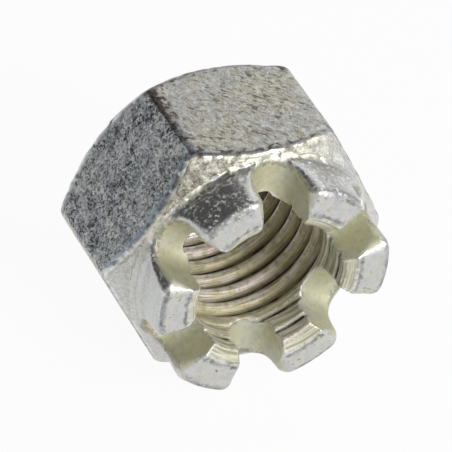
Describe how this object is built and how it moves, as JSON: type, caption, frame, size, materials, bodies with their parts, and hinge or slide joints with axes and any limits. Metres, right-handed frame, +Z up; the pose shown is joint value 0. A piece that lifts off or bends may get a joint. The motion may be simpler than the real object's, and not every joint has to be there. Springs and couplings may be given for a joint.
{
  "type": "castle nut",
  "caption": "Hexagonal castle nut with a raised slotted crown that takes a cotter pin, for a coarse metric thread.",
  "frame": {"origin": "on the bench below the middle of the nut, which lies on one flat with its thread axis 15 mm above the bench", "axes": "-Y along the thread axis from the bearing face to the crown, +Z up through the middle of the upper flat, and +X through a corner of the hexagon"},
  "size_m": [0.0342, 0.022, 0.03],
  "materials": {
    "zinc_plated_steel": "bright zinc plate over forged steel, pale grey with a faint yellow tint, rough on the flats and smooth in the slots"
  },
  "bodies": {
    "root": {"castle_nut": "zinc_plated_steel"}
  },
  "joints": []
}
